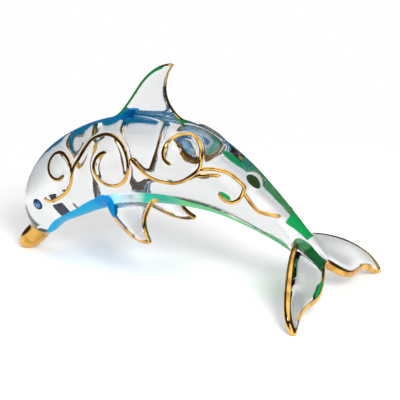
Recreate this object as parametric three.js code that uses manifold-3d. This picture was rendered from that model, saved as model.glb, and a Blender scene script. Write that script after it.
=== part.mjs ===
// Glass dolphin figurine: one cast solid of clear glass that leaps with its back arched and rests
// on the underside of its beak and on the tips of its two drooping flukes. Two cut crystals set in
// sockets make the eyes. Millimetres, +Z up; the head points to -X and the left side to -Y.
import * as THREE from 'three';
import { mergeVertices } from 'three/addons/utils/BufferGeometryUtils.js';
import Module from 'manifold-3d';

const wasm = await Module();
wasm.setup();

// Driving dimensions
const LENGTH = 208;               // from the beak to the fluke tips
const DORSAL_ROOT = 8.5;          // thickness of the dorsal fin where it leaves the back
const DORSAL_TIP = 3.2;
const FLIPPER_ROOT = 8;           // thickness of a flipper at the shoulder
const FLIPPER_TIP = 3.2;
const FLUKE_ROOT = 8.5;           // thickness of a fluke at the tail stock
const FLUKE_TIP = 4;
const RIDGE_WIDTH = 3.2;          // raised scroll lines on both sides of the body
const RIDGE_HEIGHT = 1;           // how far a scroll line stands above the skin
const RIDGE_ROOT = 0.9;           // how far its section starts below the skin
const EYE_DIAMETER = 5;           // girdle of an eye crystal
const EYE_CROWN = 1;              // height of the crystal above its girdle
const EYE_PAVILION = 1.9;         // depth of the crystal below its girdle
const EYE_CLEARANCE = 0.3;        // gap between a crystal and its socket

// How finely the smooth forms are cut into flat faces
const BODY_RINGS = 52;
const BODY_SIDES = 28;
const FIN_RINGS = 12;
const FIN_SIDES = 16;
const RIDGE_SIDES = 6;
const RIDGE_STEP = 4.4;           // distance between two sections of a scroll line
const EYE_FACETS = 8;
const SOCKET_SIDES = 16;

// Proportions below are hundredths of the length
const PERCENT = LENGTH / 100;

// Stations from the beak to the tail notch: the place of the top line (x, z), the place of the
// bottom line (x, z) and half the width there.
const BODY = [
  [-58.3, 1.0, -58.3, 1.0, 0.0],
  [-58.8, 2.5, -57.0, -0.9, 1.9],
  [-57.0, 5.1, -52.6, 0.5, 3.0],
  [-54.7, 7.3, -49.3, 4.1, 3.5],
  [-53.1, 8.9, -47.8, 5.9, 3.9],
  [-54.1, 10.2, -47.0, 5.9, 4.6],
  [-55.3, 14.0, -45.6, 7.4, 6.0],
  [-54.6, 19.4, -43.0, 9.8, 7.5],
  [-52.2, 25.0, -39.8, 11.2, 8.7],
  [-47.4, 31.4, -36.1, 12.8, 9.6],
  [-39.0, 37.3, -31.7, 15.0, 10.3],
  [-30.0, 41.3, -25.2, 17.2, 10.8],
  [-20.2, 43.5, -18.0, 19.1, 10.9],
  [-10.8, 44.1, -11.4, 20.0, 10.6],
  [-3.0, 43.2, -5.0, 20.3, 9.9],
  [3.7, 40.9, 1.7, 20.1, 8.9],
  [10.5, 37.2, 8.1, 19.3, 7.7],
  [17.0, 32.4, 14.1, 17.5, 6.3],
  [22.9, 27.3, 19.7, 15.6, 5.0],
  [27.7, 22.7, 24.1, 13.8, 3.9],
  [31.2, 19.1, 27.6, 12.0, 3.4],
  [33.9, 15.6, 30.8, 10.8, 2.9],
  [36.2, 12.3, 33.9, 9.1, 2.1],
  [37.0, 9.9, 37.0, 9.9, 0.0],
];

// Fins from root to tip: a point of the leading edge (x, y, z) and of the trailing edge (x, y, z).
// The flipper and the fluke are those of the right side; the left ones mirror them.
const DORSAL = [
  [-27.4, 0, 38.5, -2.9, 0, 37.5],
  [-24.8, 0, 43.5, -5.8, 0, 44.0],
  [-22.3, 0, 46.4, -8.6, 0, 46.5],
  [-19.9, 0, 50.0, -10.2, 0, 49.6],
  [-17.4, 0, 53.7, -10.3, 0, 52.8],
  [-14.2, 0, 56.7, -9.5, 0, 55.7],
  [-10.8, 0, 58.5, -8.5, 0, 57.5],
  [-7.5, 0, 58.9, -7.5, 0, 58.5],
];
const FLIPPER = [
  [-26.0, 2.9, 24.0, -9.6, 2.9, 26.4],
  [-25.8, 7.0, 20.0, -10.2, 7.0, 22.1],
  [-22.8, 8.3, 16.5, -10.7, 8.3, 20.4],
  [-19.6, 9.4, 14.4, -11.3, 9.4, 18.2],
  [-16.4, 10.5, 12.8, -10.8, 10.5, 16.0],
  [-12.9, 11.5, 11.6, -9.3, 11.5, 14.0],
  [-9.5, 12.6, 11.7, -7.8, 12.6, 12.9],
  [-7.8, 12.9, 12.2, -7.8, 12.9, 12.3],
];
const FLUKE = [
  [28.4, -0.3, 16.8, 36.3, -0.3, 10.2],
  [29.8, 2.4, 16.5, 38.2, 2.4, 7.8],
  [30.8, 7.0, 15.7, 39.7, 7.0, 4.6],
  [32.3, 11.8, 14.1, 40.3, 11.5, 3.1],
  [34.5, 17.8, 11.5, 39.9, 17.3, 3.6],
  [36.8, 23.6, 7.6, 40.1, 21.4, 2.4],
  [38.9, 27.2, 4.2, 40.6, 24.3, 0.6],
  [40.7, 28.2, 1.1, 41.1, 26.2, -0.1],
  [42.0, 27.3, 0.1, 41.7, 27.0, -0.1],
];
const FIN_ROUNDNESS = 2.6;        // 2 gives an elliptical section, more gives a fuller rim

// Scroll lines, seen from the side: the points that a line runs through (x, z) and the curl that
// it ends in, a spiral about a centre from one angle and radius to another.
const SCROLLS = [
  {
    through: [[-43.8, 18.7], [-41.7, 18.3], [-39.8, 19.2], [-36.8, 21.2], [-34.6, 23.9],
      [-33.7, 26.6], [-33.0, 29.4], [-31.3, 32.2]],
    curl: { centre: [-22.1, 31.2], angles: [142, -262], radii: [8.6, 3.6] },
  },
  {
    through: [[-33.7, 27.3]],
    curl: { centre: [-38.7, 27.9], angles: [15, 335], radii: [4.9, 2.5] },
  },
  {
    through: [[-15.0, 34.3], [-12.9, 32.5], [-10.6, 30.7], [-7.9, 29.5], [-5.3, 29.1],
      [-2.7, 29.1], [-0.1, 29.9], [2.2, 31.4]],
    curl: { centre: [-2.6, 36.3], angles: [-23, 255], radii: [7.4, 2.4] },
  },
  {
    through: [[4.1, 33.2], [6.7, 33.5], [8.9, 33.3], [11.1, 32.8], [13.1, 31.7]],
    curl: { centre: [12.7, 28.4], angles: [20, -165], radii: [3.3, 3.0] },
  },
  { through: [[3.9, 31.7], [6.7, 32.0], [9.9, 32.0]] },
  { through: [[16.0, 28.1], [18.0, 25.6], [20.0, 23.6], [22.5, 22.8], [25.7, 22.2]] },
];
const CURL_STEP = 18;             // degrees between two points of a curl
const RIDGE_END = 0.5;            // size of a line's first and last section beside its others
const RIDGE_TURN = 0.5;           // share of a side that sets one corner of the section on top

// Place of an eye: along the body as a share of the way from beak to tail, and round it in
// degrees from the middle of the side, up being positive.
const EYE_ALONG = 0.342;
const EYE_ROUND = -3;

const { degToRad, lerp } = THREE.MathUtils;

// Uniform cubic B-spline through rows of numbers, with its first and last row tripled so that it
// starts and ends there; t runs from 0 to 1.
function spline(rows, t) {
  const padded = [rows[0], rows[0], ...rows, rows.at(-1), rows.at(-1)];
  const spans = padded.length - 3;
  const span = Math.min(Math.floor(t * spans), spans - 1);
  const f = t * spans - span;
  const weights = [
    (1 - f) ** 3 / 6,
    (3 * f ** 3 - 6 * f ** 2 + 4) / 6,
    (-3 * f ** 3 + 3 * f ** 2 + 3 * f + 1) / 6,
    f ** 3 / 6,
  ];
  return rows[0].map((_, i) => weights.reduce((sum, w, k) => sum + w * padded[span + k][i], 0));
}

// Point of the skin: an ellipse between the top line and the bottom line. round is 0 at the
// middle of the left side and a quarter turn on the back.
function skin(along, round) {
  const [topX, topZ, bottomX, bottomZ, halfWidth] = spline(BODY, along);
  const up = Math.sin(round);
  return new THREE.Vector3(
    (topX + bottomX + (topX - bottomX) * up) / 2,
    -halfWidth * Math.cos(round),
    (topZ + bottomZ + (topZ - bottomZ) * up) / 2,
  ).multiplyScalar(PERCENT);
}

// Outward normal of the skin, from two short steps along and round the body
function skinNormal(along, round) {
  const step = 0.002;
  const forward = skin(along + step, round).sub(skin(along - step, round));
  const upward = skin(along, round + step).sub(skin(along, round - step));
  return forward.cross(upward).normalize();
}

// Angles of the points of one ring, turning right-handed about the way in which the rings follow
// each other
function ringAngles(count, shift = 0) {
  return Array.from({ length: count }, (_, j) => -2 * Math.PI * (j + shift) / count);
}

// Closed mesh over rings of points with the same count, with a fan to a point at either end
function closedSkin(rings, firstPoint, lastPoint) {
  const sides = rings[0].length;
  const points = [...rings.flat(), firstPoint, lastPoint];
  const first = points.length - 2;
  const last = points.length - 1;
  const lastRing = (rings.length - 1) * sides;
  const index = [];
  for (let j = 0; j < sides; j += 1) {
    const k = (j + 1) % sides;
    for (let i = 0; i < rings.length - 1; i += 1) {
      const a = i * sides;
      const b = a + sides;
      index.push(a + j, a + k, b + k, a + j, b + k, b + j);
    }
    index.push(first, k, j, last, lastRing + j, lastRing + k);
  }
  const geometry = new THREE.BufferGeometry().setFromPoints(points);
  geometry.setIndex(index);
  return geometry;
}

// Closed geometry to solid and back
function toSolid(geometry) {
  const bare = geometry.clone();
  bare.deleteAttribute('normal');
  bare.deleteAttribute('uv');
  const sameSpot = 1e-4;
  const merged = mergeVertices(bare, sameSpot);
  return new wasm.Manifold(new wasm.Mesh({
    numProp: 3,
    vertProperties: Float32Array.from(merged.attributes.position.array),
    triVerts: Uint32Array.from(merged.index.array),
  }));
}

function toGeometry(solid) {
  const mesh = solid.getMesh();
  const geometry = new THREE.BufferGeometry();
  geometry.setAttribute('position', new THREE.BufferAttribute(mesh.vertProperties, 3));
  geometry.setIndex(new THREE.BufferAttribute(mesh.triVerts, 1));
  return geometry;
}

// The same geometry on the other side of the body, with its faces turned outwards again
function mirrored(geometry) {
  const other = geometry.clone().scale(1, -1, 1);
  other.index.array.reverse();
  return other;
}

function bodyForm() {
  const rings = [];
  for (let i = 1; i < BODY_RINGS; i += 1) {
    rings.push(ringAngles(BODY_SIDES).map((angle) => skin(i / BODY_RINGS, angle)));
  }
  return closedSkin(rings, skin(0, 0), skin(1, 0));
}

// Fin between a leading and a trailing edge, with a section like a flattened ellipse that thins
// from root to tip and closes round at the tip.
function finForm(edges, rootThickness, tipThickness) {
  const place = (t) => {
    const row = spline(edges, t);
    const leading = new THREE.Vector3(...row.slice(0, 3)).multiplyScalar(PERCENT);
    const trailing = new THREE.Vector3(...row.slice(3)).multiplyScalar(PERCENT);
    const middle = leading.clone().add(trailing).multiplyScalar(0.5);
    return { middle, chord: trailing.sub(leading) };
  };
  const bulge = (value) => Math.sign(value) * Math.abs(value) ** (2 / FIN_ROUNDNESS);
  const roundedTip = 6;
  const rings = [];
  for (let i = 0; i < FIN_RINGS; i += 1) {
    const t = i / FIN_RINGS;
    const { middle, chord } = place(t);
    const span = place(t + 1 / FIN_RINGS).middle.sub(middle);
    const across = chord.clone().cross(span).normalize();
    const thickness = lerp(rootThickness, tipThickness, t) * Math.sqrt(1 - t ** roundedTip);
    rings.push(ringAngles(FIN_SIDES).map((angle) => middle.clone()
      .addScaledVector(chord, bulge(Math.cos(angle)) / 2)
      .addScaledVector(across, bulge(Math.sin(angle)) * thickness / 2)));
  }
  return closedSkin(rings, place(0).middle, place(1).middle);
}

// Where a point of the side view lies on the left of the body: the station whose line from
// bottom to top passes through it, found by halving, and the height on that line.
function onSide(x, z) {
  const miss = (along) => {
    const top = skin(along, Math.PI / 2);
    const bottom = skin(along, -Math.PI / 2);
    const side = (top.x - bottom.x) * (z - bottom.z) - (top.z - bottom.z) * (x - bottom.x);
    const rise = ((x - bottom.x) * (top.x - bottom.x) + (z - bottom.z) * (top.z - bottom.z))
      / top.distanceToSquared(bottom);
    return { side, up: 2 * rise - 1 };
  };
  const stations = 200;
  const halvings = 20;
  for (let i = 1; i < stations; i += 1) {
    let low = i / stations;
    let high = (i + 1) / stations;
    const start = miss(low);
    if (Math.abs(start.up) < 1 && start.side * miss(high).side <= 0) {
      for (let halving = 0; halving < halvings; halving += 1) {
        const middle = (low + high) / 2;
        if (start.side * miss(middle).side > 0) low = middle;
        else high = middle;
      }
      return { along: low, round: Math.asin(miss(low).up) };
    }
  }
  throw new Error(`no skin at ${x}, ${z}`);
}

// Points of one scroll line in the side view: its stroke, then its curl
function scrollLine({ through, curl }) {
  const points = through.map(([x, z]) => new THREE.Vector3(x, 0, z));
  if (curl) {
    const [from, to] = curl.angles;
    const [wide, narrow] = curl.radii;
    const steps = Math.round(Math.abs(to - from) / CURL_STEP);
    for (let i = 0; i <= steps; i += 1) {
      const share = i / steps;
      const angle = degToRad(lerp(from, to, share));
      const radius = wide * (narrow / wide) ** share;
      points.push(new THREE.Vector3(
        curl.centre[0] + radius * Math.cos(angle), 0, curl.centre[1] + radius * Math.sin(angle),
      ));
    }
  }
  points.forEach((point) => point.multiplyScalar(PERCENT));
  const line = new THREE.CatmullRomCurve3(points);
  return line.getSpacedPoints(Math.ceil(line.getLength() / RIDGE_STEP));
}

// Raised line on the skin: an oval section carried along the line, half sunk in the glass
function ridgeForm(scroll) {
  const spots = scrollLine(scroll).map((point) => onSide(point.x, point.z));
  const feet = spots.map(({ along, round }) => skin(along, round));
  const centreHeight = (RIDGE_HEIGHT - RIDGE_ROOT) / 2;
  const halfHeight = (RIDGE_HEIGHT + RIDGE_ROOT) / 2;
  const rings = spots.map(({ along, round }, i) => {
    const up = skinNormal(along, round);
    const ahead = feet[Math.min(i + 1, feet.length - 1)].clone().sub(feet[Math.max(i - 1, 0)]);
    const aside = ahead.cross(up).normalize();
    const size = i === 0 || i === feet.length - 1 ? RIDGE_END : 1;
    return ringAngles(RIDGE_SIDES, RIDGE_TURN).map((angle) => feet[i].clone()
      .addScaledVector(aside, size * Math.cos(angle) * RIDGE_WIDTH / 2)
      .addScaledVector(up, centreHeight + size * Math.sin(angle) * halfHeight));
  });
  return closedSkin(rings, feet[0], feet.at(-1));
}

// Shape turned about +Z, moved so that its axis stands on the skin at the left eye
function atEye(geometry) {
  const round = degToRad(EYE_ROUND);
  const outward = skinNormal(EYE_ALONG, round);
  geometry.rotateX(Math.PI / 2);
  geometry.applyQuaternion(
    new THREE.Quaternion().setFromUnitVectors(new THREE.Vector3(0, 0, 1), outward),
  );
  const foot = skin(EYE_ALONG, round);
  return geometry.translate(foot.x, foot.y, foot.z);
}

// Cut crystal: a pointed pavilion, a girdle level with the skin and a crown with a flat table
function crystalForm() {
  const radius = EYE_DIAMETER / 2;
  const tableShare = 0.55;
  return atEye(new THREE.LatheGeometry([
    new THREE.Vector2(0, -EYE_PAVILION),
    new THREE.Vector2(radius, 0),
    new THREE.Vector2(radius * tableShare, EYE_CROWN),
    new THREE.Vector2(0, EYE_CROWN),
  ], EYE_FACETS));
}

// Socket: a conical seat that clears the pavilion all over, open straight outwards
function socketForm() {
  const slant = Math.hypot(EYE_DIAMETER / 2, EYE_PAVILION);
  const seatRadius = (EYE_DIAMETER / 2 + EYE_CLEARANCE) / Math.cos(Math.PI / SOCKET_SIDES);
  const seatDepth = EYE_PAVILION + EYE_CLEARANCE * slant / (EYE_DIAMETER / 2);
  const rimDepth = EYE_CLEARANCE;
  const above = EYE_CROWN + EYE_DIAMETER;
  return atEye(new THREE.LatheGeometry([
    new THREE.Vector2(0, -seatDepth),
    new THREE.Vector2(seatRadius, -rimDepth),
    new THREE.Vector2(seatRadius, above),
    new THREE.Vector2(0, above),
  ], SOCKET_SIDES));
}

// The cast figure: body, fins and scroll lines joined, ground flat where it touches the table,
// with a socket for each eye
function dolphinSolid() {
  const flipper = finForm(FLIPPER, FLIPPER_ROOT, FLIPPER_TIP);
  const fluke = finForm(FLUKE, FLUKE_ROOT, FLUKE_TIP);
  const ridges = SCROLLS.map(ridgeForm);
  const paired = [flipper, fluke, ...ridges];
  const joined = [
    finForm(DORSAL, DORSAL_ROOT, DORSAL_TIP), ...paired, ...paired.map(mirrored),
  ].reduce((solid, form) => solid.add(toSolid(form)), toSolid(bodyForm()));
  const table = new THREE.BoxGeometry(3 * LENGTH, 3 * LENGTH, LENGTH);
  table.translate(0, 0, -LENGTH / 2);
  const socket = socketForm();
  return [table, socket, mirrored(socket)]
    .reduce((solid, form) => solid.subtract(toSolid(form)), joined);
}

const glass = new THREE.MeshStandardMaterial({
  color: 0xdfeaec, roughness: 0.04, metalness: 0, transparent: true, opacity: 0.35,
});
const crystal = new THREE.MeshStandardMaterial({ color: 0x1c3f8c, roughness: 0.06, metalness: 0 });

const figurine = new THREE.Group();
const forms = [
  ['dolphin', toGeometry(dolphinSolid()), glass],
  ['eye_left', crystalForm(), crystal],
  ['eye_right', mirrored(crystalForm()), crystal],
];

// Middle of the length brought to x = 0
const bounds = new THREE.Box3().setFromBufferAttribute(forms[0][1].attributes.position);
const middleX = (bounds.min.x + bounds.max.x) / 2;
for (const [name, geometry, material] of forms) {
  const mesh = new THREE.Mesh(geometry, material.clone());
  mesh.name = name;
  mesh.position.x = -middleX;
  figurine.add(mesh);
}

export default figurine;
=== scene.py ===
"""Looks of the glass dolphin figurine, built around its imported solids.

One cast body of clear glass with gilt beak and fin edges and a tinted belly, gold lines on its
raised scrolls and two cut crystal eyes. All lengths are metres, in the solids' own frame: the head
points to -X, the left side to -Y and the table is z = 0.
"""

import math

import bpy
import numpy as np
import openvdb
from bpy.props import FloatProperty, FloatVectorProperty, PointerProperty
from mathutils import Matrix, Vector


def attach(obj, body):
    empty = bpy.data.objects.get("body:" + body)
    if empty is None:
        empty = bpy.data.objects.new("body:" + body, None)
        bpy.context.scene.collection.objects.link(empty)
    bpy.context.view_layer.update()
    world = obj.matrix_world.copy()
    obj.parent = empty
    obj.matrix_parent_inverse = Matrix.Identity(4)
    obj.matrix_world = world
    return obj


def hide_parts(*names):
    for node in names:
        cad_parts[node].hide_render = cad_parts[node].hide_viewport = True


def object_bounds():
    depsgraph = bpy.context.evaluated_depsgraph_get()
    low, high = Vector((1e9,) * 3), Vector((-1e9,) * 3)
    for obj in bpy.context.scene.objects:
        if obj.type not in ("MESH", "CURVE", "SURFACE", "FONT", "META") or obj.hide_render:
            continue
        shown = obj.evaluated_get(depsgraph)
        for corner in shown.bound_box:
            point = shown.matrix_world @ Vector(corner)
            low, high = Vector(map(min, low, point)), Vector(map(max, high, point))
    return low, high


bl_info = {
    "name": "Glass Dolphin Figurine",
    "version": (1, 0, 0),
    "blender": (4, 5, 0),
    "location": "3D View > Sidebar > Figurine",
    "description": "Clear glass dolphin with gilt scrolls, a tinted belly and crystal eyes",
    "category": "Add Mesh",
}

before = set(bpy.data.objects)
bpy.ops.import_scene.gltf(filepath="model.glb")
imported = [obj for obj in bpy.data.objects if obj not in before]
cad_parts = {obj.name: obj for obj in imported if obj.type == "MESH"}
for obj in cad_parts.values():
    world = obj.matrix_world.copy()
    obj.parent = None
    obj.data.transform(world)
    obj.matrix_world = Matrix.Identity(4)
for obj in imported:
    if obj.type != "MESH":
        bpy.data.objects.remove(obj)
CAD_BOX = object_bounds()
MM = 0.001

# Proportions below are hundredths of the figurine's length, as in the solids.
# Stations from beak to tail notch: top line (x, z), bottom line (x, z) and half the width.
BODY = (
    (-58.3, 1.0, -58.3, 1.0, 0.0),
    (-58.8, 2.5, -57.0, -0.9, 1.9),
    (-57.0, 5.1, -52.6, 0.5, 3.0),
    (-54.7, 7.3, -49.3, 4.1, 3.5),
    (-53.1, 8.9, -47.8, 5.9, 3.9),
    (-54.1, 10.2, -47.0, 5.9, 4.6),
    (-55.3, 14.0, -45.6, 7.4, 6.0),
    (-54.6, 19.4, -43.0, 9.8, 7.5),
    (-52.2, 25.0, -39.8, 11.2, 8.7),
    (-47.4, 31.4, -36.1, 12.8, 9.6),
    (-39.0, 37.3, -31.7, 15.0, 10.3),
    (-30.0, 41.3, -25.2, 17.2, 10.8),
    (-20.2, 43.5, -18.0, 19.1, 10.9),
    (-10.8, 44.1, -11.4, 20.0, 10.6),
    (-3.0, 43.2, -5.0, 20.3, 9.9),
    (3.7, 40.9, 1.7, 20.1, 8.9),
    (10.5, 37.2, 8.1, 19.3, 7.7),
    (17.0, 32.4, 14.1, 17.5, 6.3),
    (22.9, 27.3, 19.7, 15.6, 5.0),
    (27.7, 22.7, 24.1, 13.8, 3.9),
    (31.2, 19.1, 27.6, 12.0, 3.4),
    (33.9, 15.6, 30.8, 10.8, 2.9),
    (36.2, 12.3, 33.9, 9.1, 2.1),
    (37.0, 9.9, 37.0, 9.9, 0.0),
)
BEAK_BASE = 4   # the station in the crease between beak and forehead

# Fins from root to tip: leading edge (x, y, z), trailing edge (x, y, z). The flipper and the fluke
# are those of the right side.
DORSAL = (
    (-27.4, 0, 38.5, -2.9, 0, 37.5),
    (-24.8, 0, 43.5, -5.8, 0, 44.0),
    (-22.3, 0, 46.4, -8.6, 0, 46.5),
    (-19.9, 0, 50.0, -10.2, 0, 49.6),
    (-17.4, 0, 53.7, -10.3, 0, 52.8),
    (-14.2, 0, 56.7, -9.5, 0, 55.7),
    (-10.8, 0, 58.5, -8.5, 0, 57.5),
    (-7.5, 0, 58.9, -7.5, 0, 58.5),
)
FLIPPER = (
    (-26.0, 2.9, 24.0, -9.6, 2.9, 26.4),
    (-25.8, 7.0, 20.0, -10.2, 7.0, 22.1),
    (-22.8, 8.3, 16.5, -10.7, 8.3, 20.4),
    (-19.6, 9.4, 14.4, -11.3, 9.4, 18.2),
    (-16.4, 10.5, 12.8, -10.8, 10.5, 16.0),
    (-12.9, 11.5, 11.6, -9.3, 11.5, 14.0),
    (-9.5, 12.6, 11.7, -7.8, 12.6, 12.9),
    (-7.8, 12.9, 12.2, -7.8, 12.9, 12.3),
)
FLUKE = (
    (28.4, -0.3, 16.8, 36.3, -0.3, 10.2),
    (29.8, 2.4, 16.5, 38.2, 2.4, 7.8),
    (30.8, 7.0, 15.7, 39.7, 7.0, 4.6),
    (32.3, 11.8, 14.1, 40.3, 11.5, 3.1),
    (34.5, 17.8, 11.5, 39.9, 17.3, 3.6),
    (36.8, 23.6, 7.6, 40.1, 21.4, 2.4),
    (38.9, 27.2, 4.2, 40.6, 24.3, 0.6),
    (40.7, 28.2, 1.1, 41.1, 26.2, -0.1),
    (42.0, 27.3, 0.1, 41.7, 27.0, -0.1),
)
# Exponents of the bulge of a fin's section and of its thinning towards the tip
FIN_ROUNDNESS = 2.6
TIP_ROUNDNESS = 6

# Scroll lines in the side view: the points of a stroke (x, z), then the centre, the first and last
# angle in degrees and the first and last radius of the curl that it ends in.
SCROLLS = (
    (((-43.8, 18.7), (-41.7, 18.3), (-39.8, 19.2), (-36.8, 21.2), (-34.6, 23.9),
      (-33.7, 26.6), (-33.0, 29.4), (-31.3, 32.2)), ((-22.1, 31.2), (142, -262), (8.6, 3.6))),
    (((-33.7, 27.3),), ((-38.7, 27.9), (15, 335), (4.9, 2.5))),
    (((-15.0, 34.3), (-12.9, 32.5), (-10.6, 30.7), (-7.9, 29.5), (-5.3, 29.1),
      (-2.7, 29.1), (-0.1, 29.9), (2.2, 31.4)), ((-2.6, 36.3), (-23, 255), (7.4, 2.4))),
    (((4.1, 33.2), (6.7, 33.5), (8.9, 33.3), (11.1, 32.8), (13.1, 31.7)),
     ((12.7, 28.4), (20, -165), (3.3, 3.0))),
    (((3.9, 31.7), (6.7, 32.0), (9.9, 32.0)), None),
    (((16.0, 28.1), (18.0, 25.6), (20.0, 23.6), (22.5, 22.8), (25.7, 22.2)), None),
)
CURL_STEP = 18   # degrees between two points of a curl

# Place of the left eye: share of the way from beak to tail, degrees up from the side's middle
EYE_ALONG = 0.342
EYE_ROUND = -3.0

# The middle of the length, in hundredths, lies over x = 0
MIDDLE_X = -8.24

# Gold bands beside the fins' edges: fin, whether on its trailing edge, first and last share of the
# edge, and reach in millimetres
GILT_BANDS = (
    (FLUKE, False, 0.28, 1, 3.0), (FLUKE, True, 0.13, 0.62, 3.8), (FLUKE, True, 0.6, 1, 2.6),
    (FLIPPER, False, 0.4, 0.6, 3.4), (FLIPPER, False, 0.5, 1, 2.6), (FLIPPER, True, 0.2, 1, 2.2),
    (DORSAL, False, 0.74, 1, 1.9), (DORSAL, True, 0.12, 1, 1.4),
)

# Belly stripe at shares along the body: its colours, how solid they are, and the height of its rim
STRIPE_COLOURS = (
    (0.45, "blue"), (0.48, "flipper_blue"), (0.505, "pale_blue"), (0.53, "glass"), (0.555, "teal"),
    (0.59, "teal"), (0.62, "pale_green"), (0.9, "pale_green"), (1.0, "green"),
)
STRIPE_SOLID = ((0.45, 1.0), (0.5, 0.9), (0.53, 0.3), (0.555, 0.9))
STRIPE_RIM = (
    (0.3, -0.8), (0.42, -0.76), (0.48, -0.62), (0.59, -0.6), (0.63, -0.7), (0.75, -0.7),
    (0.9, -0.6), (1.0, -0.55),
)

# Painted reflection of the belly stripe along the back, and tints of the tail stock and the
# flukes' roots: where they rise and fall along the body, and their edges in height, the stock's
# measured from a slant
BACK_REFLECTION_SPAN = ((0.34, 0.42), (0.5, 0.53))
BACK_REFLECTION_EDGE = (0.93, 0.98)
BACK_REFLECTION_SOLID = 0.3
STOCK_SPAN = ((0.795, 0.81), (0.86, 0.875))
STOCK_EDGE = (0.5, 0.6)
STOCK_START, STOCK_SLANT = 0.8, 5
ROOT_SPAN = ((0.865, 0.885), (0.96, 0.975))
ROOT_EDGE = (0.05, 0.3)
ROOT_SIDE = (5 * MM, 6 * MM)

# Tints by the stretch of a line, reach in millimetres, colour and how solid it is: on the back
# under the dorsal fin, across a flipper's root from shoulder to armpit, and bands like the gold
DORSAL_FOOT = ((0.5, 0.565, 2.4, "dorsal_blue_and_back_reflection", 0.25), (0.572, 0.59, 3.0, "green", 0.4))
FLIPPER_ROOT = ((0.4, 0.7, 3.6, "pale_blue", 0.95), (0.7, 1.0, 4.4, "teal", 0.95))
FLIPPER_ROOT_AT = 0.12
TINT_BANDS = (
    (DORSAL, False, 0.25, 0.75, 3.0, "green", 0.8),
    (FLIPPER, False, 0.02, 0.3, 6.2, "flipper_blue", 0.95),
    (FLIPPER, False, 0.28, 0.5, 3.8, "flipper_blue", 0.95),
)
LEFT_FLUKE_PATCH = (FLUKE, True, 0.3, 0.37, 5.9, "green", 0.9)
# Reach in millimetres of the dark ring painted round each eye socket
EYE_RING_REACH = 3.4

# Painted reflections: share along the body and height, half size of both, and colour
PAINTED_REFLECTIONS = (
    (0.686, 0.925, 0.018, 0.05, "reflected_deep_green"),
    (0.726, 0.85, 0.012, 0.11, "reflected_olive"),
    (0.693, -0.02, 0.01, 0.07, "green"),
)
# Edge of a painted reflection
REFLECTION_EDGE = 0.6   # width of a fleck's edge, as a share of its size

# Camera of the photograph, about the middle of the figurine
CAMERA_AZIMUTH = 28.4
CAMERA_ELEVATION = 17.0
CAMERA_DISTANCE = 1.0
CAMERA_TARGET = (0.01714, 0.0, 0.046)
SENSOR = 36.0
LENS = 161.1

# Lights: name, degrees round from the camera and up, distance, size, power, and whether gold and
# glass show the lamp itself
LIGHTS = (
    ("key_light", 20, 30, 1.2, 0.45, 16.0, False),
    ("front_light", -40, 42, 1.2, 0.2, 1.2, True),
)

# Surroundings, as stops of place and brightness. The place is 0 behind the camera and 1 straight
# ahead of it; for the ceiling it is how steeply a direction rises.
BEHIND_CAMERA = ((0.035, 1.6), (0.07, 0.05))
BACKDROP = ((0.79, 0.0), (0.85, 0.9))
CEILING = ((0.76, 0.0), (0.86, 1.5))
FLOOR_FADE = ((0.15, 1.0), (0.32, 0.0))   # metres from the middle, and alpha


# Sizes and colours that a user would change

def metres(name, description, default):
    """A length."""
    return FloatProperty(name=name, description=description, default=default, unit="LENGTH")


def tone(name, description, *default):
    """A colour from its red, green and blue."""
    return FloatVectorProperty(
        name=name, description=description, default=default, subtype="COLOR")


class FigurineSizes(bpy.types.PropertyGroup):
    length: metres("Length", "From the beak to the fluke tips", 0.208)
    dorsal_root: metres("Dorsal root", "Thickness of the dorsal fin at the back", 0.0085)
    dorsal_tip: metres("Dorsal tip", "Thickness of the dorsal fin at its tip", 0.0032)
    flipper_root: metres("Flipper root", "Thickness of a flipper at the shoulder", 0.008)
    flipper_tip: metres("Flipper tip", "Thickness of a flipper at its tip", 0.0032)
    fluke_root: metres("Fluke root", "Thickness of a fluke at the tail stock", 0.0085)
    fluke_tip: metres("Fluke tip", "Thickness of a fluke at its tip", 0.004)
    ridge_width: metres("Ridge width", "Width of a raised scroll line", 0.0032)
    ridge_height: metres("Ridge height", "How far a scroll line stands above the skin", 0.001)
    ridge_root: metres("Ridge root", "How far a scroll line starts below the skin", 0.0009)
    gilt_width: metres("Gold line width", "Width of the gold laid on a scroll line", 0.0021)
    gilt_height: metres("Gold line height", "How far the gold stands above the scroll line", 0.00025)
    eye_diameter: metres("Eye diameter", "Girdle of an eye crystal", 0.005)
    eye_crown: metres("Eye crown", "Height of the crystal above its girdle", 0.001)
    eye_pavilion: metres("Eye pavilion", "Depth of the crystal below its girdle", 0.0019)
    eye_clearance: metres("Eye clearance", "Gap between a crystal and its socket", 0.0003)
    voxel: metres("Fineness", "Step of the grid that the glass surface is drawn from", 0.00071)


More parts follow.
